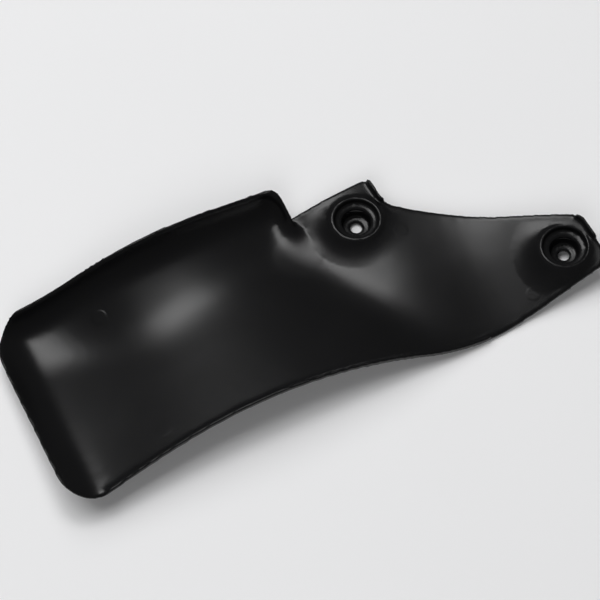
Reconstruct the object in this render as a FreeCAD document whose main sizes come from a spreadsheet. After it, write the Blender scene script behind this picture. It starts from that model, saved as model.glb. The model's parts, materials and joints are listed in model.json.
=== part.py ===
import FreeCAD, Part
import math
import os
import Sketcher

# Mud plate that bolts in front of a motorcycle's rear shock: one moulding of black polypropylene.
# A long sheet, arched to the tyre, has a flap with a turned-up far wall and a flared end, a neck,
# and an ear and an arm that each end in a sunk bolt well.
# Millimetres. +X runs along the plate from the flap to the arm, +Y across it towards the far wall,
# +Z up along both bolts. The origin is the ear's bolt axis at the seat under its boss.

DEGREE = 3
SEW_TOLERANCE = 0.001
DOCUMENT_NAME = "shock_mud_plate"
NODE = "mud_plate"

# Driving sizes: name, value, what it is
SIZES = [
    ("wall", 2.6, "thickness of the moulded sheet"),
    ("left_line", -237.0, "x of the flared end at the lean's own y"),
    ("left_lean", 0.098, "how far the flared end leans, per millimetre of y"),
    ("left_lean_from", -80.0, "y at which the flared end is at left_line"),
    ("left_height", 10.0, "rise of the flared end"),
    ("left_run", 20.0, "length of the flared end along the plate"),
    ("left_power", 1.5, "how quickly the flare steepens"),
    ("far_line", 39.9, "y of the far wall's rim at its middle, before it bows out"),
    ("far_turn", 0.025, "how far the far wall turns in, per millimetre of x"),
    ("far_middle", -129.0, "x of the far wall's middle"),
    ("far_radius", 5000.0, "bow of the far wall in plan"),
    ("far_height", 12.4, "rise of the far wall"),
    ("far_run", 14.0, "width that the far wall rises over"),
    ("far_power", 3.0, "how quickly the far wall steepens"),
    ("near_left_y", -92.0, "near edge at the flared end"),
    ("near_inflection_x", -15.0, "where the near edge turns from hollow to full"),
    ("near_inflection_y", -97.5, "the same place across the plate"),
    ("near_hollow_radius", 570.0, "hollow of the near edge beside the flap"),
    ("near_full_radius", 180.0, "fullness of the near edge beside the neck"),
    ("near_straight_x", 40.0, "where the arm's near edge runs straight"),
    ("near_straight_y", -104.8, "the same place across the plate"),
    ("arm_end_x", 115.0, "end of the arm"),
    ("arm_near_y", -100.0, "near edge at the arm's end"),
    ("arm_far_y", -69.5, "where the arm's end is cut back"),
    ("arm_cut_inset", 3.0, "how far the arm's far corner stands back from its end"),
    ("arm_cut_y", -63.0, "the same corner across the plate"),
    ("arm_hollow_x", 72.0, "where the arm's far edge runs straight"),
    ("arm_hollow_y", -38.5, "the same place across the plate"),
    ("arm_hollow_radius", 420.0, "hollow of the arm's far edge"),
    ("ear_root_x", 24.0, "where the ear meets the arm"),
    ("ear_root_y", -1.0, "the same place across the plate"),
    ("ear_right_x", 20.5, "right edge of the ear"),
    ("ear_shoulder_y", 5.0, "where the ear's right edge begins"),
    ("ear_tip_y", 18.5, "where the ear's right edge ends"),
    ("ear_tip_x", 16.5, "where the ear's far edge ends"),
    ("ear_far_y", 22.0, "far edge of the ear"),
    ("return_x", -33.0, "outer face of the far wall's return"),
    ("near_left_radius", 20.0, "near corner of the flared end"),
    ("far_left_radius", 30.0, "far corner of the flared end"),
    ("far_right_radius", 10.0, "corner of the far wall and its return"),
    ("arm_near_radius", 9.0, "near corner of the arm"),
    ("ear_tip_radius", 2.0, "corners of the ear's tip"),
    ("ear_root_radius", 8.0, "hollow corner where the ear meets the arm"),
    ("return_run", 11.0, "width that the return rises over"),
    ("return_patch_before", 18.0, "length, before its foot, of the patch that the return stands on"),
    ("return_patch_after", 6.0, "length of that patch past the return's foot"),
    ("return_patch_width", 50.0, "width of that patch"),
    ("return_end_y", -1.5, "where the return dies away"),
    ("return_end_height", 5.9, "height of the return's top there"),
    ("return_start_y", 48.0, "where the return's top starts, beyond the rim"),
    ("return_start_height", 27.2, "height of the return's top there"),
    ("bead_width", 2.2, "width of the near edge's bead and of the lips"),
    ("bead_height", 1.4, "rise of the near edge's bead"),
    ("bead_start_x", -214.0, "where the bead begins"),
    ("bead_end_x", 30.0, "where the bead ends"),
    ("lip_height", 3.2, "rise of the lips on the ear and on the arm's end"),
    ("end_lip_y", -84.0, "where the lip of the arm's end stops"),
    ("arm_bolt_x", 95.8, "arm's bolt along the plate from the ear's bolt"),
    ("arm_bolt_y", -79.0, "arm's bolt across the plate from the ear's bolt"),
    ("arm_seat_z", 2.5, "seat of the arm's boss above the ear's seat"),
    ("bolt_hole_diameter", 6.8, "clearance hole of an M6 bolt"),
    ("well_bore_diameter", 17.0, "bore that takes the bolt's head"),
    ("well_mouth_diameter", 26.0, "mouth of the bolt well"),
    ("well_floor_height", 3.0, "floor of the well above its seat"),
    ("well_ledge_height", 10.0, "ledge of the well above its seat"),
    ("well_round", 0.8, "rounding of the ledge's inner edge"),
    ("boss_draft", 0.6, "how much wider the boss is at its root, in radius"),
    ("rim_width", 1.2, "flat rim round the mouth of a well"),
    ("collar_top", 13.6, "rim of a well above its seat"),
    ("ear_collar_spread", 10.0, "how far the ear's collar spreads from its rim"),
    ("ear_collar_fall", 7.5, "how far the ear's collar falls from its rim"),
    ("ear_waist_spread", 3.0, "how far its steeper upper flank spreads"),
    ("ear_waist_fall", 1.4, "how far its upper flank falls"),
    ("arm_collar_spread", 10.0, "how far the arm's collar spreads from its rim"),
    ("arm_collar_fall", 7.0, "how far the arm's collar falls from its rim"),
    ("arm_waist_spread", 3.0, "how far its steeper upper flank spreads"),
    ("arm_waist_fall", 1.6, "how far its upper flank falls"),
    ("root_depth", 0.6, "how deep the raised features root in the sheet, as a share of its wall"),
    ("bead_zone_depth", 30.0, "how far past the near edge the bead's zone reaches"),
    ("prism_bottom", -30.0, "lowest level of the trimming prisms"),
    ("prism_height", 120.0, "height of the trimming prisms"),
    ("neck_y", -50.0, "y at which the neck bends down to its near side"),
    ("neck_bluntness", 20.0, "roundness of that bend"),
    ("fold_far_x", -33.0, "far end of the fold between the flap and the neck"),
    ("fold_far_y", 10.0, "the same end across the plate"),
    ("fold_near_x", -6.0, "near end of the fold"),
    ("fold_near_y", -104.0, "the same end across the plate"),
    ("fold_width", 9.0, "half width of the fold at its far end"),
    ("fold_spread", 0.13, "how much wider the fold gets, per millimetre towards its near end"),
    ("fold_bluntness", 20.0, "length over which it starts to widen"),
    ("flap_start", -240.0, "first station of the flap's guides"),
    ("neck_start", -60.0, "first station of the neck's guides"),
    ("station_pitch", 30.0, "spacing of the guides' stations"),
    ("sheet_start", -250.0, "end of the untrimmed sheet beyond the flap"),
    ("sheet_margin", 13.0, "how far the untrimmed sheet runs on beyond the arm"),
    ("sheet_near", -120.0, "near side of the untrimmed sheet"),
    ("sheet_pitch", 10.0, "spacing of the sheet's knots"),
    ("flare_pitch", 6.25, "spacing of the finer knots at the flared end"),
    ("flare_zone", 50.0, "length that the finer knots cover"),
    ("wall_pitch", 3.34, "spacing of the finer knots at the far wall"),
    ("wall_zone", 20.0, "width that the finer knots cover"),
]

# Guides of the sheet: its section at even stations along the plate, from the flap to the arm.
# The flap is a trough with two straight flanks; the neck and the arm bend down to their near side.
FLAP_GUIDES = {
    "trough_height": [4.6, 3.2, 4.8, 10.8, 14.0, 13.2, 9.0, 4.2, 1.5],
    "trough_y": [8.0, 8.0, 4.0, -4.0, -4.0, 0.0, 3.0, 4.0, 4.0],
    "trough_bluntness": [3.0, 3.0, 8.0, 12.0, 13.0, 12.0, 10.0, 8.0, 8.0],
    "near_slope": [0.12, 0.135, 0.178, 0.172, 0.155, 0.145, 0.143, 0.138, 0.12],
    "far_slope": [0.01, 0.02, 0.08, 0.14, 0.16, 0.16, 0.15, 0.12, 0.1],
}
NECK_GUIDES = {
    "neck_height": [5.5, 6.3, 9.0, 8.4, 9.2, 14.6, 18.0],
    "neck_near_slope": [0.12, 0.12, 0.125, 0.125, 0.1, 0.08, 0.07],
    "neck_far_slope": [0.04, 0.04, 0.04, 0.03, 0.02, 0.01, 0.0],
}
GUIDES = {"flap_start": FLAP_GUIDES, "neck_start": NECK_GUIDES}


def station_name(guide, station):
    """Sheet name of a guide's value at one station."""
    return f"{guide}_{station}"


def write_sizes(doc):
    """The spreadsheet of driving sizes, one row each, with the guides' values under them."""
    sheet = doc.addObject("Spreadsheet::Sheet", "Sizes")
    rows = list(SIZES)
    for guides in GUIDES.values():
        for guide, values in guides.items():
            for station, value in enumerate(values):
                rows.append((station_name(guide, station), value, f"{guide} at station {station}"))
    for row, (name, value, meaning) in enumerate(rows, start=1):
        sheet.set(f"A{row}", meaning)
        sheet.set(f"B{row}", str(value))
        sheet.setAlias(f"B{row}", name)
    doc.recompute()
    return sheet


doc = FreeCAD.newDocument(DOCUMENT_NAME)
sizes = write_sizes(doc)


def size(name):
    """Value of one cell of the spreadsheet."""
    return float(sizes.get(name))


def cell(name):
    """Expression that reads one cell."""
    return f"Sizes.{name}"


def bind(thing, **expressions):
    """Ties properties to expressions; a double underscore in a name stands for a dot."""
    for path, expression in expressions.items():
        thing.setExpression(path.replace("__", "."), expression)
    return thing


def add(kind, name, **expressions):
    """A new object of the document, with its sizes tied to the sheet."""
    return bind(doc.addObject(kind, name), **expressions)


def joined(kind, name, base, tool):
    """A boolean of two objects."""
    result = doc.addObject(kind, name)
    result.Base = base
    result.Tool = tool
    return result


# Plan of the plate: the flared end leans, and the far wall turns in and bows out, so both axes are skewed
def far_bow(x):
    """How far the far wall bows out at x."""
    half = size("return_x") - size("far_middle")
    offset = min(abs(x - size("far_middle")), half)
    radius = size("far_radius")
    return math.sqrt(radius ** 2 - offset ** 2) - math.sqrt(radius ** 2 - half ** 2)


def plan_place(along, across):
    """Plate x and y of a place given along the skewed axes of the flap."""
    lean = size("left_lean")
    turn = size("far_turn")
    skew = across + turn * size("far_middle") - size("left_lean_from")
    x = (along + lean * skew) / (1.0 + lean * turn)
    y = across - turn * (x - size("far_middle")) + far_bow(x)
    return x, y


def rim_y(x, reach):
    """Plate y of the far wall's line at x before it bows, moved out by reach."""
    return size("far_line") + reach - size("far_turn") * (x - size("far_middle"))


def left_x(y):
    """Plate x of the flared end's line at y."""
    return size("left_line") + size("left_lean") * (y - size("left_lean_from"))


# Form of the sheet's upper face
def guide_curve(start, guide, count):
    """Smooth curve through a guide's values, whose parameter is the place along the plate."""
    places = [size(start) + size("station_pitch") * station for station in range(count)]
    points = [
        FreeCAD.Vector(place, size(station_name(guide, station)), 0)
        for station, place in enumerate(places)
    ]
    curve = Part.BSplineCurve()
    curve.interpolate(Points=points, Parameters=places)
    return curve


CURVES = {
    guide: guide_curve(start, guide, len(values))
    for start, guides in GUIDES.items()
    for guide, values in guides.items()
}


def guide_at(guide, x):
    """Value of a guide at x, level beyond its ends."""
    curve = CURVES[guide]
    place = min(max(x, curve.FirstParameter), curve.LastParameter)
    return curve.value(place).y


def bend(offset, near_slope, far_slope, bluntness):
    """Height of two straight flanks that meet in a rounded bend; each slope rises away from the bend."""
    reach = math.hypot(offset, bluntness) - bluntness
    return (near_slope + far_slope) / 2 * reach + (far_slope - near_slope) / 2 * offset


def flap_height(x, y):
    """Trough of the flap."""
    offset = y - guide_at("trough_y", x)
    slopes = guide_at("near_slope", x), guide_at("far_slope", x)
    return guide_at("trough_height", x) + bend(offset, *slopes, guide_at("trough_bluntness", x))


def neck_height(x, y):
    """Neck and arm, which bend down to their near side."""
    slopes = -guide_at("neck_near_slope", x), guide_at("neck_far_slope", x)
    return guide_at("neck_height", x) + bend(y - size("neck_y"), *slopes, size("neck_bluntness"))


def neck_share(x, y):
    """How much of the neck's form a place has: none on the flap, all past the fold."""
    far = FreeCAD.Vector(size("fold_far_x"), size("fold_far_y"), 0)
    near = FreeCAD.Vector(size("fold_near_x"), size("fold_near_y"), 0)
    fold = (near - far).normalize()
    across_fold = (FreeCAD.Vector(x, y, 0) - far).cross(fold).z * -1
    half_width = size("fold_width") + bend(far.y - y, 0.0, size("fold_spread"), size("fold_bluntness"))
    return (1.0 + math.tanh(across_fold / half_width)) / 2


def base_height(x, y):
    """The sheet without its far wall and flare."""
    share = neck_share(x, y)
    return flap_height(x, y) * (1.0 - share) + neck_height(x, y) * share


def wall_share(across):
    """Share of the way up the far wall, from its foot to its rim."""
    return max(0.0, (across - size("far_line") + size("far_run")) / size("far_run"))


def flare_share(along):
    """Share of the way up the flared end."""
    return max(0.0, (size("left_line") + size("left_run") - along) / size("left_run"))


def return_share(x):
    """Share of the way up the return."""
    return max(0.0, (x - size("return_x") + size("return_run")) / size("return_run"))


def edge_rise(wall, end, end_height, end_power):
    """Rise at a corner of the flap, where the far wall and a raised end run into each other."""
    share = math.hypot(wall, end)
    blend = (wall / share) ** 2 if share else 0.0
    height = end_height + (size("far_height") - end_height) * blend
    power = end_power + (size("far_power") - end_power) * blend
    return height * share ** power


def flared_rise(along, across, _x):
    """Rise of the far wall and the flared end."""
    return edge_rise(wall_share(across), flare_share(along), size("left_height"), size("left_power"))


def returned_rise(_along, across, x):
    """Rise of the far wall and the return."""
    return edge_rise(wall_share(across), return_share(x), size("far_height"), size("far_power"))


# The moulded sheet: spline surfaces whose control points follow that form
def even_places(start, end, pitch):
    """Places from start to end, about a pitch apart, without the end."""
    spans = max(1, round((end - start) / pitch))
    return [start + (end - start) * step / spans for step in range(spans)]


def control_places(knots):
    """Places of a clamped cubic spline's control points along its axis."""
    padded = [knots[0]] * DEGREE + list(knots) + [knots[-1]] * DEGREE
    return [sum(padded[i + 1:i + 1 + DEGREE]) / DEGREE for i in range(len(knots) + DEGREE - 1)]


def sheet_knots():
    """Knots along the plate, closer together at the flare, and across it, closer together at the far wall."""
    flare_end = size("sheet_start") + size("flare_zone")
    along = even_places(size("sheet_start"), flare_end, size("flare_pitch"))
    sheet_end = size("arm_end_x") + size("sheet_margin")
    along += even_places(flare_end, sheet_end, size("sheet_pitch")) + [sheet_end]
    foot = size("far_line") - size("wall_zone")
    across = even_places(size("sheet_near"), foot, size("sheet_pitch"))
    across += even_places(foot, size("far_line"), size("wall_pitch")) + [size("far_line")]
    return along, across


def return_knots():
    """Knots of the small patch that the return stands on."""
    foot = size("return_x") - size("return_run")
    start, end = foot - size("return_patch_before"), foot + size("return_patch_after")
    along = even_places(start, end, size("wall_pitch")) + [end]
    far = size("far_line") + size("wall")
    across = even_places(far - size("return_patch_width"), far, size("wall_pitch")) + [far]
    return along, across


def spline_surface(poles, along, across):
    """A clamped bicubic surface from rows of control points and the knots on its two axes."""
    def counts(knots):
        return [DEGREE + 1] + [1] * (len(knots) - 2) + [DEGREE + 1]

    surface = Part.BSplineSurface()
    surface.buildFromPolesMultsKnots(
        poles, counts(along), counts(across), along, across, False, False, DEGREE, DEGREE,
    )
    return surface


def formed_surface(along_knots, across_knots, rise):
    """The sheet's upper face, raised by a function of its places along and across the flap and of x."""
    poles = []
    for along in control_places(along_knots):
        row = []
        for across in control_places(across_knots):
            x, y = plan_place(along, across)
            row.append(FreeCAD.Vector(x, y, base_height(x, y) + rise(along, across, x)))
        poles.append(row)
    return spline_surface(poles, along_knots, across_knots)


def lower_surface(upper):
    """The under face, one wall below the upper face along its normals."""
    poles = upper.getPoles()
    for i, along in enumerate(control_places(upper.getUKnots())):
        for j, across in enumerate(control_places(upper.getVKnots())):
            poles[i][j] -= upper.normal(along, across) * size("wall")
    return spline_surface(poles, upper.getUKnots(), upper.getVKnots())


def solid_between(upper, lower):
    """The closed solid between two spline surfaces of one plan."""
    faces = [upper.toShape(), lower.toShape()]
    for place in (upper.getUKnots()[0], upper.getUKnots()[-1]):
        faces.append(Part.makeRuledSurface(upper.uIso(place).toShape(), lower.uIso(place).toShape()))
    for place in (upper.getVKnots()[0], upper.getVKnots()[-1]):
        faces.append(Part.makeRuledSurface(upper.vIso(place).toShape(), lower.vIso(place).toShape()))
    shell = Part.makeShell(faces)
    shell.sewShape(SEW_TOLERANCE)
    solid = Part.makeSolid(shell)
    if solid.Volume < 0:
        solid.reverse()
    return solid


upper = formed_surface(*sheet_knots(), flared_rise)
lower = lower_surface(upper)
return_top = formed_surface(*return_knots(), returned_rise)

blank = doc.addObject("Part::Feature", "sheet_blank")
blank.Shape = solid_between(upper, lower)

upper_face = doc.addObject("Part::Feature", "upper_face")
upper_face.Shape = upper.toShape()

return_face = doc.addObject("Part::Feature", "return_face")
return_face.Shape = return_top.toShape()


# Outlines are closed sketches of lines and arcs whose corners are tied to the sheet
def fix_point(sketch, curve, end, x, y):
    """Ties one end of a sketch curve to an x and a y, each an expression and its value."""
    for kind, (expression, value) in (("DistanceX", x), ("DistanceY", y)):
        if value < 0:
            index = sketch.addConstraint(Sketcher.Constraint(kind, curve, end, -1, 1, -value))
            sketch.setExpression(f"Constraints[{index}]", f"-({expression})")
        else:
            index = sketch.addConstraint(Sketcher.Constraint(kind, -1, 1, curve, end, value))
            sketch.setExpression(f"Constraints[{index}]", expression)


def arc_between(start, end, radius, left_turn):
    """An arc of a circle from start to end, turning left or right."""
    chord = end - start
    side = FreeCAD.Vector(-chord.y, chord.x, 0).normalize()
    rise = math.sqrt(radius ** 2 - (chord.Length / 2) ** 2)
    centre = (start + end) * 0.5 + side * (rise if left_turn else -rise)
    first, last = (start, end) if left_turn else (end, start)
    angles = [math.atan2(point.y - centre.y, point.x - centre.x) for point in (first, last)]
    if angles[1] < angles[0]:
        angles[1] += 2 * math.pi
    return Part.ArcOfCircle(Part.Circle(centre, FreeCAD.Vector(0, 0, 1), radius), *angles)


def outline_sketch(name, corners, arcs):
    """A closed sketch of named corners.

    corners maps each corner's name to (x expression, x, y expression, y), in order. arcs holds the curves
    that aren't straight: the corner that they start from, with the radius's name and whether they turn left.
    """
    sketch = doc.addObject("Sketcher::SketchObject", name)
    points = [FreeCAD.Vector(x, y, 0) for _ex, x, _ey, y in corners.values()]
    ends = []
    for number, (corner, start) in enumerate(zip(corners, points)):
        end = points[(number + 1) % len(points)]
        if corner in arcs:
            radius_name, left_turn = arcs[corner]
            curve = sketch.addGeometry(arc_between(start, end, size(radius_name), left_turn))
            ends.append((1, 2) if left_turn else (2, 1))
            index = sketch.addConstraint(Sketcher.Constraint("Radius", curve, size(radius_name)))
            sketch.setExpression(f"Constraints[{index}]", cell(radius_name))
        else:
            sketch.addGeometry(Part.LineSegment(start, end))
            ends.append((1, 2))
    for number, (x_expression, x, y_expression, y) in enumerate(corners.values()):
        after = (number + 1) % len(points)
        joint = Sketcher.Constraint("Coincident", number, ends[number][1], after, ends[after][0])
        sketch.addConstraint(joint)
        fix_point(sketch, number, ends[number][0], (x_expression, x), (y_expression, y))
    return sketch


def at(x_name, y_name):
    """A corner whose two places are cells."""
    return cell(x_name), size(x_name), cell(y_name), size(y_name)


def prism(name, sketch):
    """A sketch raised through the whole height of the plate."""
    body = add("Part::Extrusion", name, LengthFwd=cell("prism_height"),
               Placement__Base__z=cell("prism_bottom"))
    body.Base = sketch
    body.DirMode = "Custom"
    body.Dir = FreeCAD.Vector(0, 0, 1)
    body.Solid = True
    return body


def raised(name, face, rise, drop):
    """The space over a face, from drop below it to rise above it."""
    body = add("Part::Extrusion", name, LengthFwd=rise, LengthRev=drop)
    body.Base = face
    body.DirMode = "Custom"
    body.Dir = FreeCAD.Vector(0, 0, 1)
    body.Solid = True
    return body


LEFT_X = "(Sizes.left_line + Sizes.left_lean * ({y} - Sizes.left_lean_from))"
RIM_Y = "(Sizes.far_line + Sizes.wall - Sizes.far_turn * ({x} - Sizes.far_middle))"


def near_left_corner():
    """The flared end's line at the near edge."""
    y = size("near_left_y")
    words = cell("near_left_y")
    return LEFT_X.format(y=words), left_x(y), words, y


def far_right_corner():
    """The far wall's outer line at the return."""
    x = size("return_x")
    words = cell("return_x")
    return words, x, RIM_Y.format(x=words), rim_y(x, size("wall"))


def far_left_corner():
    """Where the flared end's line meets the far wall's outer line."""
    lean = size("left_lean")
    turn = size("far_turn")
    rim = size("far_line") + size("wall") + turn * size("far_middle")
    left = size("left_line") - lean * size("left_lean_from")
    y = (rim - turn * left) / (1.0 + turn * lean)
    rim_words = "(Sizes.far_line + Sizes.wall + Sizes.far_turn * Sizes.far_middle)"
    left_words = "(Sizes.left_line - Sizes.left_lean * Sizes.left_lean_from)"
    words = f"(({rim_words} - Sizes.far_turn * {left_words}) / (1 + Sizes.far_turn * Sizes.left_lean))"
    return LEFT_X.format(y=words), left_x(y), words, y


def arm_cut_corner():
    """The far corner of the arm, which stands back from its end."""
    x = size("arm_end_x") - size("arm_cut_inset")
    return "Sizes.arm_end_x - Sizes.arm_cut_inset", x, cell("arm_cut_y"), size("arm_cut_y")


OUTLINE = {
    "near_left": near_left_corner(),
    "near_inflection": at("near_inflection_x", "near_inflection_y"),
    "near_straight": at("near_straight_x", "near_straight_y"),
    "arm_near": at("arm_end_x", "arm_near_y"),
    "arm_far": at("arm_end_x", "arm_far_y"),
    "arm_cut": arm_cut_corner(),
    "arm_hollow": at("arm_hollow_x", "arm_hollow_y"),
    "ear_root": at("ear_root_x", "ear_root_y"),
    "ear_shoulder": at("ear_right_x", "ear_shoulder_y"),
    "ear_tip": at("ear_right_x", "ear_tip_y"),
    "ear_far": at("ear_tip_x", "ear_far_y"),
    "return_foot": at("return_x", "ear_far_y"),
    "far_right": far_right_corner(),
    "far_left": far_left_corner(),
}
OUTLINE_ARCS = {
    "near_left": ("near_hollow_radius", False),
    "near_inflection": ("near_full_radius", True),
    "arm_hollow": ("arm_hollow_radius", False),
    "far_right": ("far_radius", True),
}
OUTLINE_ROUNDS = {
    "near_left": "near_left_radius",
    "arm_near": "arm_near_radius",
    "ear_shoulder": "ear_root_radius",
    "ear_far": "ear_tip_radius",
    "far_right": "far_right_radius",
    "far_left": "far_left_radius",
}
outline = outline_sketch("outline", OUTLINE, OUTLINE_ARCS)
sharp_prism = prism("sharp_prism", outline)
doc.recompute()


def upright_edge(shape, x, y):
    """Number of the shape's upright edge that stands at x, y."""
    for number, edge in enumerate(shape.Edges, start=1):
        ends = [vertex.Point for vertex in edge.Vertexes]
        if len(ends) == 2 and all(math.hypot(end.x - x, end.y - y) < SEW_TOLERANCE for end in ends):
            return number
    raise RuntimeError(f"no upright edge at {x}, {y}")


plan_prism = doc.addObject("Part::Fillet", "plan_prism")
plan_prism.Base = sharp_prism
rounds = []
for corner, radius_name in OUTLINE_ROUNDS.items():
    _ex, corner_x, _ey, corner_y = OUTLINE[corner]
    rounds.append((upright_edge(sharp_prism.Shape, corner_x, corner_y), size(radius_name), size(radius_name)))
plan_prism.Edges = rounds
doc.recompute()

# A band along the outline, from which the bead and the lips are cut
inner_outline = doc.addObject("Part::Feature", "inner_outline")
top_face = max(plan_prism.Shape.Faces, key=lambda face: face.CenterOfMass.z)
inner_outline.Shape = top_face.OuterWire.makeOffset2D(-size("bead_width"), 2, False, False, False)
inner_prism = doc.addObject("Part::Extrusion", "inner_prism")
inner_prism.Base = inner_outline
inner_prism.DirMode = "Custom"
inner_prism.Dir = FreeCAD.Vector(0, 0, -1)
inner_prism.Solid = True
bind(inner_prism, LengthFwd=cell("prism_height"))
edge_band = joined("Part::Cut", "edge_band", plan_prism, inner_prism)

panel = joined("Part::Common", "panel", blank, plan_prism)

# The return: a hollow wall that closes the far corner of the flap and dies away towards the neck
under_return = raised("under_return", return_face, "0", cell("prism_height"))
over_sheet = raised("over_sheet", upper_face, cell("far_height"), f"{cell('wall')} * Sizes.root_depth")


def zone(name, low_x, high_x, low_y, high_y):
    """An upright box that limits a feature to one stretch of the plan; its sides are expressions."""
    return add(
        "Part::Box", name,
        Length=f"({high_x}) - ({low_x})", Width=f"({high_y}) - ({low_y})", Height=cell("prism_height"),
        Placement__Base__x=low_x, Placement__Base__y=low_y, Placement__Base__z=cell("prism_bottom"),
    )


def common(name, things):
    """What several objects share, taken one after another."""
    shared = things[0]
    for number, thing in enumerate(things[1:], start=1):
        last = number == len(things) - 1
        shared = joined("Part::Common", name if last else f"{name}_step_{number}", shared, thing)
    return shared


return_strip = zone(
    "return_strip", "Sizes.return_x - Sizes.return_run", cell("return_x"),
    cell("return_end_y"), "Sizes.far_line + Sizes.wall * 3",
)
RETURN_FALL = {
    "end_foot": at("return_end_y", "prism_bottom"),
    "end_top": at("return_end_y", "return_end_height"),
    "start_top": at("return_start_y", "return_start_height"),
    "start_foot": at("return_start_y", "prism_bottom"),
}
return_fall_outline = outline_sketch("return_fall_outline", RETURN_FALL, {})
return_fall_outline.Placement = FreeCAD.Placement(
    FreeCAD.Vector(0, 0, 0), FreeCAD.Rotation(FreeCAD.Vector(1, 1, 1), 120),
)
return_fall = add("Part::Extrusion", "return_fall", LengthFwd=cell("prism_height"))
return_fall.Base = return_fall_outline
return_fall.DirMode = "Custom"
return_fall.Dir = FreeCAD.Vector(-1, 0, 0)
return_fall.Solid = True
return_wall = common("return_wall", [return_strip, return_fall, plan_prism, under_return, over_sheet])

# The bead along the near edge, and the lips on the ear and on the arm's end
ROOT = f"{cell('wall')} * Sizes.root_depth"
over_bead = raised("over_bead", upper_face, cell("bead_height"), ROOT)
over_lip = raised("over_lip", upper_face, cell("lip_height"), ROOT)
bead_zone = zone("bead_zone", cell("bead_start_x"), cell("bead_end_x"),
                 "Sizes.near_straight_y - Sizes.bead_zone_depth", "Sizes.near_left_y + Sizes.bead_zone_depth")
ear_zone = zone("ear_zone", "Sizes.ear_right_x - Sizes.bead_width", "Sizes.ear_right_x + Sizes.bead_width",
                "Sizes.ear_shoulder_y - Sizes.ear_root_radius / 4", "Sizes.ear_tip_y + Sizes.ear_tip_radius")
end_zone = zone("end_zone", "Sizes.arm_end_x - Sizes.bead_width * 2", "Sizes.arm_end_x + Sizes.bead_width",
                cell("end_lip_y"), "Sizes.arm_cut_y - Sizes.bead_width")
near_bead = common("near_bead", [edge_band, over_bead, bead_zone])
ear_lip = common("ear_lip", [edge_band, over_lip, ear_zone])
end_lip = common("end_lip", [edge_band, over_lip, end_zone])

# Bolt wells: a boss under the sheet, a hollow collar round its mouth, and the stepped well sunk in them
WELLS = [
    ("ear", "0", "0", "0"),
    ("arm", cell("arm_bolt_x"), cell("arm_bolt_y"), cell("arm_seat_z")),
]
BOSS_RADIUS = "(Sizes.well_bore_diameter / 2 + Sizes.wall)"
LEDGE_UNDER = "(Sizes.well_ledge_height - Sizes.wall)"
RIM_RADIUS = "(Sizes.well_mouth_diameter / 2 + Sizes.rim_width)"


def turned(kind, name, place, rise, **expressions):
    """A round primitive on a bolt's axis, rise above the bolt's seat."""
    x, y, seat = place
    return add(kind, name, Placement__Base__x=x, Placement__Base__y=y,
               Placement__Base__z=f"{seat} + {rise}", **expressions)


def collar_profile(name):
    """Half section of a collar: a rim, two flanks that flatten towards the foot, and a plain inside."""
    rim = size("well_mouth_diameter") / 2 + size("rim_width")
    top = size("collar_top")

    def flank_end(part):
        spread = f"{name}_{part}_spread"
        fall = f"{name}_{part}_fall"
        radius_words = f"({RIM_RADIUS} + {cell(spread)})"
        level_words = f"({cell('collar_top')} - {cell(fall)})"
        return radius_words, rim + size(spread), level_words, top - size(fall)

    foot = flank_end("collar")
    corners = {
        "axis_seat": ("0", 0.0, "0", 0.0),
        "foot_seat": (foot[0], foot[1], "0", 0.0),
        "foot": foot,
        "waist": flank_end("waist"),
        "rim": (RIM_RADIUS, rim, cell("collar_top"), top),
        "axis_rim": ("0", 0.0, cell("collar_top"), top),
    }
    sketch = outline_sketch(f"{name}_collar_profile", corners, {})
    sketch.Placement.Rotation = FreeCAD.Rotation(FreeCAD.Vector(1, 0, 0), 90)
    return sketch


def boss_pieces(name, *place):
    """What a bolt well adds to the sheet: its boss, its ledge and its collar."""
    boss = turned(
        "Part::Cone", f"{name}_boss", place, "0",
        Radius1=BOSS_RADIUS, Radius2=f"{BOSS_RADIUS} + Sizes.boss_draft", Height=LEDGE_UNDER,
    )
    ledge = turned(
        "Part::Cylinder", f"{name}_ledge", place, LEDGE_UNDER,
        Radius=RIM_RADIUS, Height=f"Sizes.collar_top - {LEDGE_UNDER}",
    )
    turn = turned("Part::Revolution", f"{name}_collar_turn", place, "0")
    turn.Source = collar_profile(name)
    turn.Axis = FreeCAD.Vector(0, 0, 1)
    turn.Solid = True
    return [boss, ledge, common(f"{name}_collar", [turn, over_sheet, plan_prism])]


def well_cuts(name, *place):
    """What a bolt well takes away: the space over its rim, its mouth, its bore, its edge and its hole."""
    bore = "Sizes.well_bore_diameter / 2"
    rounds = [
        ("clearing", cell("collar_top"), RIM_RADIUS),
        ("mouth", cell("well_ledge_height"), "Sizes.well_mouth_diameter / 2"),
        ("bore", cell("well_floor_height"), bore),
        ("hole", cell("prism_bottom"), "Sizes.bolt_hole_diameter / 2"),
    ]
    cuts = [
        turned("Part::Cylinder", f"{name}_{part}", place, low, Radius=radius, Height=cell("prism_height"))
        for part, low, radius in rounds
    ]
    edge = turned(
        "Part::Cone", f"{name}_ledge_edge", place, "Sizes.well_ledge_height - Sizes.well_round",
        Radius1=bore, Radius2=f"{bore} + Sizes.well_round", Height=cell("well_round"),
    )
    return cuts + [edge]


added = [panel, return_wall, near_bead, ear_lip, end_lip]
removed = []
for well in WELLS:
    added += boss_pieces(*well)
    removed += well_cuts(*well)
doc.recompute()

moulding = doc.addObject("Part::MultiFuse", "moulding")
moulding.Shapes = added
moulding.Refine = True
well_space = doc.addObject("Part::MultiFuse", "well_space")
well_space.Shapes = removed
plate = joined("Part::Cut", NODE, moulding, well_space)
plate.Label = NODE
doc.recompute()

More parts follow.
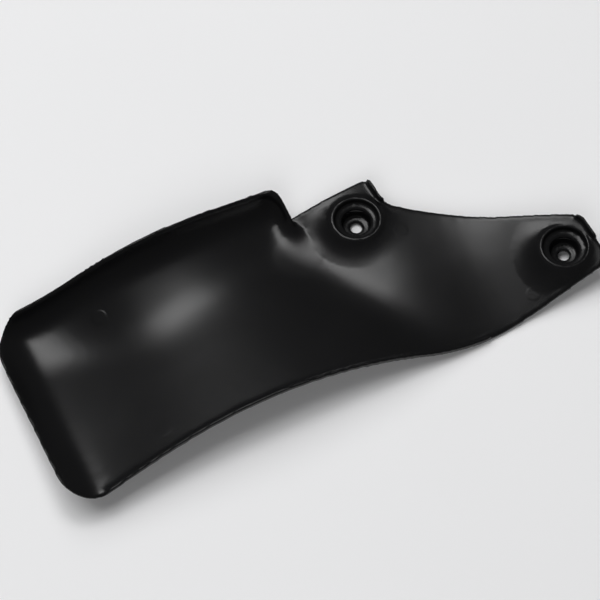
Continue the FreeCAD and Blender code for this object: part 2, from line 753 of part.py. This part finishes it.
for thing in doc.Objects:
    faults = {"Invalid", "Error"} & set(thing.State)
    if faults or hasattr(thing, "Shape") and (thing.Shape.isNull() or not thing.Shape.isValid()):
        raise RuntimeError(f"{thing.Name} failed: {thing.State}")
for thing in added + removed + [plate]:
    if len(thing.Shape.Solids) != 1:
        raise RuntimeError(f"{thing.Name} isn't one solid")

os.makedirs("parts", exist_ok=True)
plate.Shape.exportStep(f"parts/{NODE}.step")
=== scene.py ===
"""Looks of a moulded motorcycle mud plate: satin black polypropylene on a white studio floor."""

import json
import logging
import math
from dataclasses import dataclass, field
from enum import Enum
from typing import Any

import bpy
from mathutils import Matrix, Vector

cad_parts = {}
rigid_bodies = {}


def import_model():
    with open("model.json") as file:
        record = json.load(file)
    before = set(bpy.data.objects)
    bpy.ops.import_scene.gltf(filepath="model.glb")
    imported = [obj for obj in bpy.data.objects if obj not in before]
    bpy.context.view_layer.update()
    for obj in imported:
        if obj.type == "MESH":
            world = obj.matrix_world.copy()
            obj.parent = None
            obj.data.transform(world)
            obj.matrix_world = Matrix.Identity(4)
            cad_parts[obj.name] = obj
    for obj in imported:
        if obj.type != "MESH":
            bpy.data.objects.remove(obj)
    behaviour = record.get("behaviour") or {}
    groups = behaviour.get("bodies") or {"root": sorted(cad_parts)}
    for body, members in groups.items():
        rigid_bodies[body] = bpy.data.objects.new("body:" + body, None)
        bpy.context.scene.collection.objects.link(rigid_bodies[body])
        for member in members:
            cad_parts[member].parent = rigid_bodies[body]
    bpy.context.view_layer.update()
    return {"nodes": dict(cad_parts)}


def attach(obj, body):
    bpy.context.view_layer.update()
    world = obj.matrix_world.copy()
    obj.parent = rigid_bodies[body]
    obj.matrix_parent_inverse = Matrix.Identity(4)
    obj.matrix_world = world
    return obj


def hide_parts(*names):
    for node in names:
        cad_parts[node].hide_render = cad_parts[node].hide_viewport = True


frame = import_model()

MM = 0.001
LOG = logging.getLogger("mud_plate")


class Region(Enum):
    """Stretches of the plate that carry a moulding mark."""

    FLAP_FAR = "far side of the flap"
    FLAP_NEAR = "near side of the flap"
    NECK = "neck, beside the ear"
    ARM = "arm, before its well"


class Feature(Enum):
    """Features of the moulding whose skin is softened further."""

    RETURN = "end of the far wall's return"
    EAR_COLLAR = "collar of the ear's well"
    ARM_COLLAR = "collar of the arm's well"
    FLARED_END = "rim of the flared end"
    FLAP_RIMS = "rims of the flap"


def linear(hex_colour: str) -> tuple[float, float, float, float]:
    """Turns an sRGB hex colour to linear RGBA.

    Args:
        hex_colour: Six hex digits, such as "1a1a1c".

    Returns:
        Linear red, green and blue, with an alpha of 1.
    """
    values = [int(hex_colour[i:i + 2], 16) / 255.0 for i in (0, 2, 4)]
    red, green, blue = (v / 12.92 if v <= 0.04045 else ((v + 0.055) / 1.055) ** 2.4 for v in values)
    return red, green, blue, 1.0


def add_node(tree: bpy.types.NodeTree, kind: str, links: dict[str, Any] | None = None,
             **settings: Any) -> bpy.types.Node:
    """Adds a shader node with its settings, values and links.

    Args:
        tree: Node tree to add to.
        kind: Node type, such as "ShaderNodeTexNoise".
        links: Input name or number to an output socket or a plain value.
        **settings: Properties of the node itself.

    Returns:
        The new node.
    """
    node = tree.nodes.new(kind)
    for name, value in settings.items():
        setattr(node, name, value)
    for name, value in (links or {}).items():
        if isinstance(value, bpy.types.NodeSocket):
            tree.links.new(value, node.inputs[name])
        else:
            node.inputs[name].default_value = value
    return node


def deselect_all() -> None:
    """Leaves nothing selected and no edit mode open."""
    if bpy.context.object and bpy.context.object.mode != "OBJECT":
        bpy.ops.object.mode_set(mode="OBJECT")
    bpy.ops.object.select_all(action="DESELECT")


def make_active(thing: bpy.types.Object) -> None:
    """Selects one object alone and makes it the active one."""
    deselect_all()
    thing.select_set(True)
    bpy.context.view_layer.objects.active = thing


@dataclass(frozen=True)
class EjectorMark:
    """Faint raised disc that an ejector pin leaves in the moulding.

    Attributes:
        region: Where on the plate it is.
        x_mm: Place along the plate.
        y_mm: Place across the plate.
        radius_mm: Radius of the disc.
        slope_mm: Half width of its sloping edge.
        height_mm: How far it stands up.
    """

    region: Region
    x_mm: float
    y_mm: float
    radius_mm: float = 4.2
    slope_mm: float = 0.8
    height_mm: float = 0.05


@dataclass(frozen=True)
class SoftZone:
    """Stretch of the skin that is softened further, so that a feature has no hard foot or rim.

    Attributes:
        feature: Feature that is softened there.
        x_mm: Its middle along the plate.
        y_mm: Its middle across the plate.
        inner_mm: Radius inside which nothing moves.
        outer_mm: Radius outside which nothing moves.
        passes: Smoothing passes.
        keep_edges: Whether the edges of the moulding keep their shape.
    """

    feature: Feature
    x_mm: float
    y_mm: float
    inner_mm: float
    outer_mm: float
    passes: int
    keep_edges: bool = True

    def holds(self, place: Vector) -> bool:
        """Tells whether a place of the skin is in the zone."""
        reach = math.hypot(place.x / MM - self.x_mm, place.y / MM - self.y_mm)
        return self.inner_mm < reach < self.outer_mm


@dataclass(frozen=True)
class MouldedPolypropylene:
    """Black polypropylene, injection moulded in a fine-grained tool.

    The grain scatters the lamps into broad satin patches, and the pigment leaves hardly any colour.

    Attributes:
        name: Material name.
        pigment: Colour of the pigmented plastic.
        pale_pigment: Slightly paler colour of the clouded parts.
        roughness: Satin roughness of the tool's grain.
        roughness_spread: How much the roughness drifts over the plate.
        ior: Refractive index of polypropylene.
        grain_mm: Size of the tool's grain; coarser than the real one, so that it shows.
        grain_height_mm: Height of the grain.
        grain_detail: Octaves of the grain.
        cloud_mm: Size of the faint clouds that flow leaves in the surface.
        cloud_detail: Octaves of the clouds.
    """

    name: str = "moulded_black_polypropylene"
    pigment: str = "0b0b0c"
    pale_pigment: str = "101011"
    roughness: float = 0.25
    roughness_spread: float = 0.03
    ior: float = 1.49
    grain_mm: float = 0.9
    grain_height_mm: float = 0.010
    grain_detail: float = 2.0
    cloud_mm: float = 38.0
    cloud_detail: float = 3.0

    def build(self, marks: list[EjectorMark]) -> bpy.types.Material:
        """Makes the material.

        Args:
            marks: Ejector marks that show in the surface.

        Returns:
            The finished material.
        """
        material = bpy.data.materials.new(self.name)
        material.use_nodes = True
        tree = material.node_tree
        shader = tree.nodes["Principled BSDF"]
        shader.inputs["IOR"].default_value = self.ior
        place = add_node(tree, "ShaderNodeTexCoord").outputs["Object"]
        cloud = add_node(tree, "ShaderNodeTexNoise", {
            "Vector": place, "Scale": 1.0 / (self.cloud_mm * MM), "Detail": self.cloud_detail,
        }).outputs["Fac"]
        tree.links.new(self.mixed_colour(tree, cloud), shader.inputs["Base Color"])
        rough = add_node(tree, "ShaderNodeMapRange", {
            "Value": cloud, "To Min": self.roughness - self.roughness_spread,
            "To Max": self.roughness + self.roughness_spread,
        })
        tree.links.new(rough.outputs["Result"], shader.inputs["Roughness"])
        grain = add_node(tree, "ShaderNodeTexNoise", {
            "Vector": place, "Scale": 1.0 / (self.grain_mm * MM), "Detail": self.grain_detail,
        }).outputs["Fac"]
        height = self.marked_height(tree, place, grain, marks)
        bump = add_node(tree, "ShaderNodeBump", {
            "Strength": 1.0, "Distance": self.grain_height_mm * MM, "Height": height,
        })
        tree.links.new(bump.outputs["Normal"], shader.inputs["Normal"])
        return material

    def mixed_colour(self, tree: bpy.types.NodeTree, cloud: bpy.types.NodeSocket) -> bpy.types.NodeSocket:
        """Drifts the pigment between its two colours.

        Args:
            tree: Material's node tree.
            cloud: Noise that drives the drift.

        Returns:
            Colour socket.
        """
        ramp = add_node(tree, "ShaderNodeValToRGB", {"Fac": cloud})
        ramp.color_ramp.elements[0].color = linear(self.pigment)
        ramp.color_ramp.elements[1].color = linear(self.pale_pigment)
        return ramp.outputs["Color"]

    def marked_height(self, tree: bpy.types.NodeTree, place: bpy.types.NodeSocket,
                      grain: bpy.types.NodeSocket, marks: list[EjectorMark]) -> bpy.types.NodeSocket:
        """Adds the ejector marks to the grain's height.

        Args:
            tree: Material's node tree.
            place: Object coordinates.
            grain: Height of the grain.
            marks: Discs to add.

        Returns:
            Height socket for the bump.
        """
        height = grain
        flat = add_node(tree, "ShaderNodeVectorMath", {0: place, 1: (1.0, 1.0, 0.0)},
                        operation="MULTIPLY")
        for mark in marks:
            centre = (mark.x_mm * MM, mark.y_mm * MM, 0.0)
            reach = add_node(tree, "ShaderNodeVectorMath", {0: flat.outputs["Vector"], 1: centre},
                             operation="DISTANCE")
            disc = add_node(tree, "ShaderNodeMapRange", {
                "Value": reach.outputs["Value"], "From Min": (mark.radius_mm - mark.slope_mm) * MM,
                "From Max": (mark.radius_mm + mark.slope_mm) * MM,
                "To Min": mark.height_mm / self.grain_height_mm, "To Max": 0.0,
            }, interpolation_type="SMOOTHSTEP")
            marked = add_node(tree, "ShaderNodeMath", {0: disc.outputs["Result"], 1: height},
                              operation="ADD")
            height = marked.outputs["Value"]
            LOG.info("ejector mark: %s", mark.region.value)
        return height


@dataclass(frozen=True)
class StudioPaper:
    """White studio paper: matt, and a little grey where less light reaches it.

    Attributes:
        name: Material name.
        colour: Colour of the paper.
        shade_colour: Colour of the paper's faint clouds.
        roughness: Matt roughness.
        cloud_mm: Size of the clouds.
    """

    name: str = "white_studio_paper"
    colour: str = "f1f1f2"
    shade_colour: str = "eeeeef"
    roughness: float = 0.9
    cloud_mm: float = 220.0

    def build(self) -> bpy.types.Material:
        """Makes the material."""
        material = bpy.data.materials.new(self.name)
        material.use_nodes = True
        tree = material.node_tree
        shader = tree.nodes["Principled BSDF"]
        shader.inputs["Roughness"].default_value = self.roughness
        shader.inputs["Specular IOR Level"].default_value = 0.0
        place = add_node(tree, "ShaderNodeTexCoord").outputs["Object"]
        cloud = add_node(tree, "ShaderNodeTexNoise", {
            "Vector": place, "Scale": 1.0 / (self.cloud_mm * MM),
        })
        ramp = add_node(tree, "ShaderNodeValToRGB", {"Fac": cloud.outputs["Fac"]})
        ramp.color_ramp.elements[0].color = linear(self.shade_colour)
        ramp.color_ramp.elements[1].color = linear(self.colour)
        tree.links.new(ramp.outputs["Color"], shader.inputs["Base Color"])
        return material


@dataclass
class MudPlate:
    """The whole moulding, with the soft edges and run-outs that a tool leaves.

    Attributes:
        node: CAD node that the moulding stands for.
        slot: Record slot for its finish; not used.
        merge_mm: Distance at which loose points of the CAD mesh are joined.
        octree_depth: Halvings of the grid on which the moulding's skin is drawn again.
        octree_scale: Share of that grid that the moulding fills.
        smoothing: Share of the way that a point moves in one smoothing pass.
        edge_passes: Passes that round the edges and the inner corners.
        sheet_passes: Passes that even out the open sheet between them.
        edge_angle_deg: Fold from which an edge of the skin counts as an edge of the moulding.
        edge_reach: Rows of skin beside an edge that keep their shape.
        finish: Its plastic.
        marks: Ejector marks on its upper face.
        soft_zones: Where its skin is softened further.
    """

    node: str = "mud_plate"
    slot: str = "black_polypropylene"
    merge_mm: float = 0.001
    octree_depth: int = 9
    octree_scale: float = 0.65
    smoothing: float = 0.5
    edge_passes: int = 5
    sheet_passes: int = 40
    edge_angle_deg: float = 22.0
    edge_reach: int = 3
    finish: MouldedPolypropylene = field(default_factory=MouldedPolypropylene)
    marks: list[EjectorMark] = field(default_factory=lambda: [
        EjectorMark(Region.FLAP_FAR, -163.0, 18.7, height_mm=0.16),
        EjectorMark(Region.FLAP_NEAR, -168.0, -69.0),
        EjectorMark(Region.NECK, 19.6, -18.7, height_mm=0.03),
        EjectorMark(Region.ARM, 66.0, -93.0),
    ])
    soft_zones: list[SoftZone] = field(default_factory=lambda: [
        SoftZone(Feature.RETURN, -41.0, -2.0, 0.0, 23.0, 30, keep_edges=False),
        SoftZone(Feature.RETURN, -41.0, -2.0, 0.0, 19.0, 80, keep_edges=False),
        SoftZone(Feature.RETURN, -41.0, -2.0, 0.0, 15.0, 160, keep_edges=False),
        SoftZone(Feature.FLARED_END, -260.0, -27.0, 0.0, 88.0, 8, keep_edges=False),
        SoftZone(Feature.EAR_COLLAR, 0.0, 0.0, 15.0, 31.0, 200),
        SoftZone(Feature.ARM_COLLAR, 95.8, -79.0, 15.0, 31.0, 200),
        SoftZone(Feature.FLAP_RIMS, -150.0, -30.0, 0.0, 120.0, 5, keep_edges=False),
    ])

    def build(self) -> bpy.types.Object:
        """Draws the moulding's skin again with soft edges and dresses it.

        Returns:
            The finished piece.
        """
        skin = self.merged_copy()
        self.soften(skin)
        self.dress(skin)
        return skin

    def merged_copy(self) -> bpy.types.Object:
        """Copies the CAD node's mesh and joins its loose triangles.

        Returns:
            The copy, as an object of its own.
        """
        source = frame["nodes"][self.node]
        mesh = source.data.copy()
        skin = bpy.data.objects.new("plate_moulding", mesh)
        bpy.context.scene.collection.objects.link(skin)
        make_active(skin)
        bpy.ops.object.mode_set(mode="EDIT")
        bpy.ops.mesh.select_all(action="SELECT")
        bpy.ops.mesh.remove_doubles(threshold=self.merge_mm * MM)
        bpy.ops.object.mode_set(mode="OBJECT")
        bpy.ops.mesh.customdata_custom_splitnormals_clear()
        return skin

    def soften(self, skin: bpy.types.Object) -> None:
        """Rounds the edges and the inner corners of the skin, and evens out the open sheet.

        Args:
            skin: Merged copy of the CAD mesh.
        """
        make_active(skin)
        remesh = skin.modifiers.new("skin", "REMESH")
        remesh.mode = "SHARP"
        remesh.octree_depth = self.octree_depth
        remesh.scale = self.octree_scale
        remesh.use_smooth_shade = True
        bpy.ops.object.modifier_apply(modifier=remesh.name)
        bpy.ops.object.mode_set(mode="EDIT")
        bpy.ops.mesh.select_all(action="SELECT")
        bpy.ops.mesh.vertices_smooth(factor=self.smoothing, repeat=self.edge_passes)
        bpy.ops.mesh.select_all(action="DESELECT")
        bpy.ops.mesh.select_mode(type="EDGE")
        bpy.ops.mesh.edges_select_sharp(sharpness=math.radians(self.edge_angle_deg))
        bpy.ops.mesh.select_mode(type="VERT")
        for _row in range(self.edge_reach):
            bpy.ops.mesh.select_more()
        bpy.ops.mesh.select_all(action="INVERT")
        bpy.ops.mesh.vertices_smooth(factor=self.smoothing, repeat=self.sheet_passes)
        bpy.ops.object.mode_set(mode="OBJECT")
        open_sheet = [vertex.select for vertex in skin.data.vertices]
        for zone in self.soft_zones:
            self.run_out(skin, zone, open_sheet)
        LOG.info("plate_moulding: %d faces", len(skin.data.polygons))

    def run_out(self, skin: bpy.types.Object, zone: SoftZone, open_sheet: list[bool]) -> None:
        """Smooths one zone of the skin, so that its feature has no hard foot.

        Args:
            skin: Skin to smooth.
            zone: Where to smooth it.
            open_sheet: For each vertex of the skin, whether it is away from the moulding's edges.
        """
        make_active(skin)
        bpy.ops.object.mode_set(mode="EDIT")
        bpy.ops.mesh.select_mode(type="VERT")
        bpy.ops.mesh.select_all(action="DESELECT")
        bpy.ops.object.mode_set(mode="OBJECT")
        for vertex, is_open in zip(skin.data.vertices, open_sheet):
            vertex.select = (is_open or not zone.keep_edges) and zone.holds(vertex.co)
        bpy.ops.object.mode_set(mode="EDIT")
        bpy.ops.mesh.vertices_smooth(factor=self.smoothing, repeat=zone.passes)
        bpy.ops.object.mode_set(mode="OBJECT")
        LOG.info("soft zone: %s", zone.feature.value)

    def dress(self, skin: bpy.types.Object) -> None:
        """Gives the skin its plastic and puts it in the CAD node's place.

        Args:
            skin: Softened skin.
        """
        skin.data.materials.clear()
        skin.data.materials.append(self.finish.build(self.marks))
        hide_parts(self.node)
        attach(skin, "root")


@dataclass
class Softbox:
    """A studio softbox.

    Attributes:
        name: Name of the lamp.
        direction: Way from the plate to the lamp.
        distance_mm: How far away it stands.
        width_mm: Width of its front.
        height_mm: Height of its front.
        power_w: Power.
        mirrored: Whether the plastic's gloss shows it.
    """

    name: str
    direction: tuple[float, float, float]
    distance_mm: float
    width_mm: float
    height_mm: float
    power_w: float
    mirrored: bool = True

    def build(self, aim: Vector) -> bpy.types.Object:
        """Hangs the lamp and turns it to the plate.

        Args:
            aim: Point that it faces, in metres.

        Returns:
            The lamp.
        """
        lamp = bpy.data.lights.new(self.name, "AREA")
        lamp.shape = "RECTANGLE"
        lamp.size = self.width_mm * MM
        lamp.size_y = self.height_mm * MM
        lamp.energy = self.power_w
        thing = bpy.data.objects.new(self.name, lamp)
        bpy.context.scene.collection.objects.link(thing)
        away = Vector(self.direction).normalized()
        thing.location = aim + away * self.distance_mm * MM
        thing.rotation_euler = away.to_track_quat("Z", "Y").to_euler()
        thing.visible_glossy = self.mirrored
        return thing


@dataclass
class Studio:
    """White floor, lamps and camera.

    Attributes:
        aim_mm: Point of the plate's table that the picture's middle shows.
        view_mm: Width of table that the picture shows.
        azimuth_deg: Turn of the camera round the plate.
        elevation_deg: Height angle of the camera.
        lens_mm: Focal length.
        sensor_mm: Width of the sensor.
        floor_mm: Side of the floor.
        floor_cuts: Cuts along each side of the floor.
        paper: Finish of the floor.
        lamps: Softboxes.
        world_colour: Colour of the room's own light.
        world_grey: Level of the room's own light.
    """

    aim_mm: tuple[float, float, float] = (-53.0, -25.0, 0.0)
    view_mm: float = 353.0
    azimuth_deg: float = -30.0
    elevation_deg: float = 60.0
    lens_mm: float = 200.0
    sensor_mm: float = 36.0
    floor_mm: float = 6000.0
    floor_cuts: int = 3
    paper: StudioPaper = field(default_factory=StudioPaper)
    lamps: list[Softbox] = field(default_factory=lambda: [
        Softbox("key_softbox", (-0.10, 0.49, 0.866), 4000.0, 4600.0, 4600.0, 156.0, mirrored=False),
        Softbox("strip_softbox", (0.115, 0.442, 0.89), 2600.0, 860.0, 700.0, 9.4),
        Softbox("fill_softbox", (-0.50, -0.60, 0.62), 4000.0, 2000.0, 2000.0, 36.0, mirrored=False),
    ])
    world_colour: str = "ffffff"
    world_grey: float = 0.07

    def build(self) -> None:
        """Builds the whole studio."""
        aim = Vector(self.aim_mm) * MM
        self.lay_floor()
        for lamp in self.lamps:
            lamp.build(aim)
            LOG.info("lamp: %s", lamp.name)
        self.light_room()
        self.place_camera(aim)

    def lay_floor(self) -> None:
        """Lays the paper under the plate."""
        deselect_all()
        bpy.ops.mesh.primitive_plane_add(size=self.floor_mm * MM, location=(0.0, 0.0, 0.0))
        floor = bpy.context.object
        floor.name = "studio_floor"
        bpy.ops.object.mode_set(mode="EDIT")
        bpy.ops.mesh.subdivide(number_cuts=self.floor_cuts)
        bpy.ops.object.mode_set(mode="OBJECT")
        floor.data.materials.append(self.paper.build())

    def light_room(self) -> None:
        """Sets the even light of the room."""
        world = bpy.data.worlds.new("studio_room")
        world.use_nodes = True
        background = world.node_tree.nodes["Background"]
        background.inputs["Color"].default_value = linear(self.world_colour)
        background.inputs["Strength"].default_value = self.world_grey
        bpy.context.scene.world = world

    def place_camera(self, aim: Vector) -> None:
        """Puts the camera at the photograph's angle.

        Args:
            aim: Point that the picture's middle shows, in metres.
        """
        turn = math.radians(self.azimuth_deg)
        lift = math.radians(self.elevation_deg)
        back = Vector((math.sin(turn) * math.cos(lift), -math.cos(turn) * math.cos(lift), math.sin(lift)))
        camera = bpy.data.cameras.new("studio_camera")
        camera.lens = self.lens_mm
        camera.sensor_width = self.sensor_mm
        thing = bpy.data.objects.new("studio_camera", camera)
        bpy.context.scene.collection.objects.link(thing)
        thing.location = aim + back * (self.view_mm * MM * self.lens_mm / self.sensor_mm)
        thing.rotation_euler = back.to_track_quat("Z", "Y").to_euler()
        bpy.context.scene.camera = thing


def main() -> None:
    """Builds the plate and the studio round it."""
    logging.basicConfig(level=logging.INFO)
    bpy.context.scene.view_settings.view_transform = "Standard"
    plate = MudPlate().build()
    LOG.info("built %s", plate.name)
    Studio().build()


if __name__ == "__main__":
    main()
